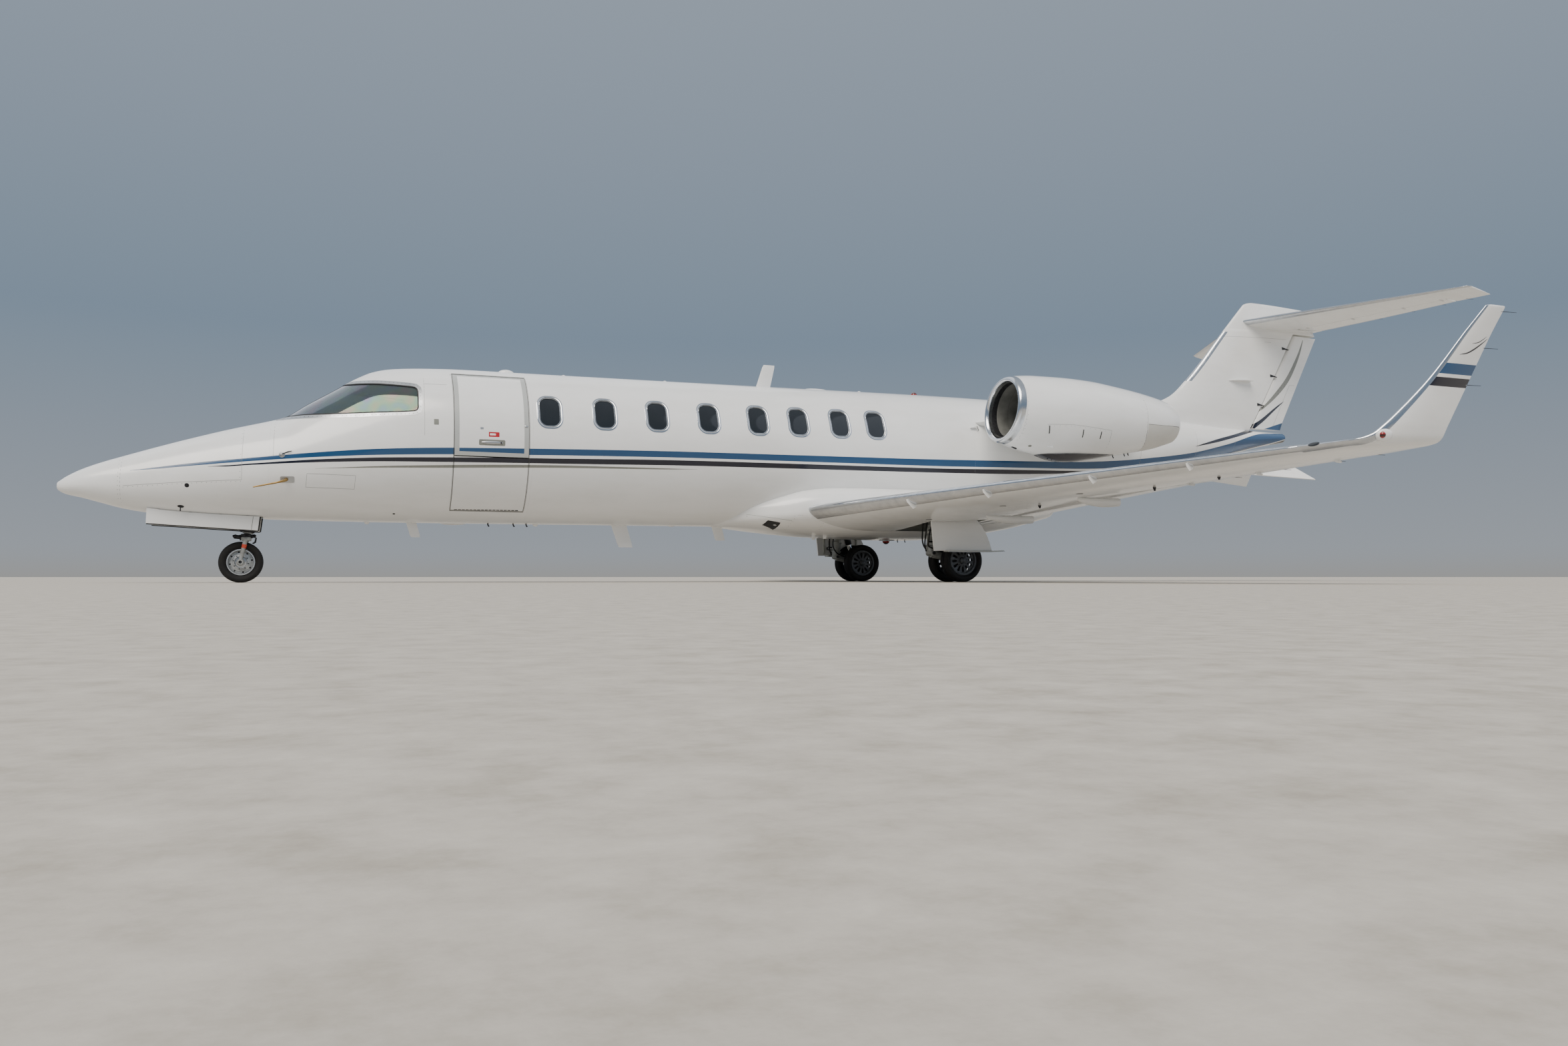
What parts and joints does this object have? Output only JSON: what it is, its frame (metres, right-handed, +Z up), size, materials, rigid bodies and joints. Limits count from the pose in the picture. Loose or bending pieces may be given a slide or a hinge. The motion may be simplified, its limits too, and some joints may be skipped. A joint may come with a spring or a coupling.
{
  "type": "business jet",
  "caption": "Light business jet parked on its gear: hollow cabin with windows and split entry door, swept wings with winglets, T-tail, rear engines and turning wheels.",
  "frame": {"origin": "on the ground, under the middle of the aircraft's length and width", "axes": "+X runs aft from nose to tail, +Y to the aircraft's right, +Z up"},
  "size_m": [17.54, 14.5262, 4.3],
  "materials": {
    "white_paint": "gloss white aircraft paint",
    "glazing": "tinted acrylic",
    "carpet": "short pile",
    "seat_leather": "smooth leather",
    "panel_black": "matt",
    "dark_metal": "heat-stained",
    "cast_metal": "machined and painted",
    "tyre_rubber": "matt rubber"
  },
  "bodies": {
    "airframe": {"radome": "white_paint", "nose_section": "white_paint", "cockpit_shell": "white_paint", "cabin_shell": "white_paint", "tail_cone": "white_paint", "belly_fairing": "white_paint", "wing_right": "white_paint", "wing_left": "white_paint", "winglet_right": "white_paint", "winglet_left": "white_paint", "ventral_fin_right": "white_paint", "ventral_fin_left": "white_paint", "nacelle_right": "white_paint", "nacelle_left": "white_paint", "pylon_right": "white_paint", "pylon_left": "white_paint", "nose_gear_door_right": "white_paint", "nose_gear_door_left": "white_paint", "main_gear_door_right": "white_paint", "main_gear_door_left": "white_paint", "fin": "white_paint", "stabiliser": "white_paint", "aerial_top": "white_paint", "aerial_belly_forward": "white_paint", "aerial_belly": "white_paint", "windscreen_right": "glazing", "windscreen_left": "glazing", "cabin_windows_right": "glazing", "cabin_windows_left": "glazing", "cabin_floor": "carpet", "cabin_seats_right": "seat_leather", "cabin_seats_left": "seat_leather", "pilot_seats": "seat_leather", "instrument_panel": "panel_black", "engine_core_right": "dark_metal", "engine_core_left": "dark_metal", "main_leg_right": "cast_metal", "main_leg_left": "cast_metal", "nose_leg": "cast_metal"},
    "nose_fork": {"nose_fork": "cast_metal"},
    "nose_wheel": {"nose_rim": "cast_metal", "nose_tyre": "tyre_rubber"},
    "main_wheels_right": {"main_rims_right": "cast_metal", "main_tyre_inner_right": "tyre_rubber", "main_tyre_outer_right": "tyre_rubber"},
    "fan_right": {"fan_right": "cast_metal"},
    "main_wheels_left": {"main_rims_left": "cast_metal", "main_tyre_inner_left": "tyre_rubber", "main_tyre_outer_left": "tyre_rubber"},
    "fan_left": {"fan_left": "cast_metal"},
    "entry_door_upper": {"entry_door_upper": "white_paint"},
    "entry_door_lower": {"entry_door_lower": "white_paint"},
    "rudder": {"rudder": "white_paint"},
    "elevator_right": {"elevator_right": "white_paint"},
    "elevator_left": {"elevator_left": "white_paint"},
    "aileron_right": {"aileron_right": "white_paint"},
    "aileron_left": {"aileron_left": "white_paint"},
    "flap_right": {"flap_right": "white_paint"},
    "flap_left": {"flap_left": "white_paint"}
  },
  "joints": [
    {"name": "nose_steering", "type": "hinge", "parent": "airframe", "child": "nose_fork", "pos_m": [-6.98668, 0, 0.462], "axis": [0.1736, 0, 0.9848], "range_deg": [-60, 60]},
    {"name": "nose_wheel_turn", "type": "hinge", "parent": "nose_fork", "child": "nose_wheel", "pos_m": [-7.035, 0, 0.222], "axis": [0, 1, 0], "continuous": true},
    {"name": "main_wheel_turn_right", "type": "hinge", "parent": "airframe", "child": "main_wheels_right", "pos_m": [0.992, 1.41, 0.262], "axis": [0, 1, 0], "continuous": true},
    {"name": "fan_turn_right", "type": "hinge", "parent": "airframe", "child": "fan_right", "pos_m": [2.33, 1.4, 2.14637], "axis": [1, 0, 0], "continuous": true},
    {"name": "main_wheel_turn_left", "type": "hinge", "parent": "airframe", "child": "main_wheels_left", "pos_m": [0.992, -1.41, 0.262], "axis": [0, 1, 0], "continuous": true},
    {"name": "fan_turn_left", "type": "hinge", "parent": "airframe", "child": "fan_left", "pos_m": [2.33, -1.4, 2.14637], "axis": [1, 0, 0], "continuous": true},
    {"name": "entry_door_upper_hinge", "type": "hinge", "parent": "airframe", "child": "entry_door_upper", "pos_m": [-4.499, -0.438, 2.328], "axis": [-1, 0, 0], "range_deg": [0, 95]},
    {"name": "entry_door_lower_hinge", "type": "hinge", "parent": "airframe", "child": "entry_door_lower", "pos_m": [-4.499, -0.453, 0.826], "axis": [1, 0, 0], "range_deg": [0, 100]},
    {"name": "rudder_hinge", "type": "hinge", "parent": "airframe", "child": "rudder", "pos_m": [7.4881, 0, 3.06], "axis": [0.5059, 0, 0.8626], "range_deg": [-20, 20]},
    {"name": "elevator_hinge_right", "type": "hinge", "parent": "airframe", "child": "elevator_right", "pos_m": [7.87478, 0.19, 3.95834], "axis": [0.2761, 0.961, 0.0183], "range_deg": [-20, 15]},
    {"name": "elevator_hinge_left", "type": "hinge", "parent": "airframe", "child": "elevator_left", "pos_m": [7.87478, -0.19, 3.95834], "axis": [-0.2761, 0.961, -0.0183], "range_deg": [-20, 15]},
    {"name": "aileron_hinge_right", "type": "hinge", "parent": "airframe", "child": "aileron_right", "pos_m": [1.82981, 4.44, 1.035], "axis": [0.1413, 0.9888, 0.048], "range_deg": [-20, 20]},
    {"name": "aileron_hinge_left", "type": "hinge", "parent": "airframe", "child": "aileron_left", "pos_m": [1.82981, -4.44, 1.035], "axis": [-0.1413, 0.9888, -0.048], "range_deg": [-20, 20]},
    {"name": "flap_hinge_right", "type": "hinge", "parent": "airframe", "child": "flap_right", "pos_m": [1.36376, 1.18, 0.7998], "axis": [0.1412, 0.9874, 0.072], "range_deg": [0, 40]},
    {"name": "flap_hinge_left", "type": "hinge", "parent": "airframe", "child": "flap_left", "pos_m": [1.36376, -1.18, 0.7998], "axis": [-0.1412, 0.9874, -0.072], "range_deg": [0, 40]}
  ],
  "couplings": [
    {"joint": "elevator_hinge_left", "follows": "elevator_hinge_right", "ratio": 1},
    {"joint": "aileron_hinge_left", "follows": "aileron_hinge_right", "ratio": -1},
    {"joint": "flap_hinge_left", "follows": "flap_hinge_right", "ratio": 1}
  ]
}
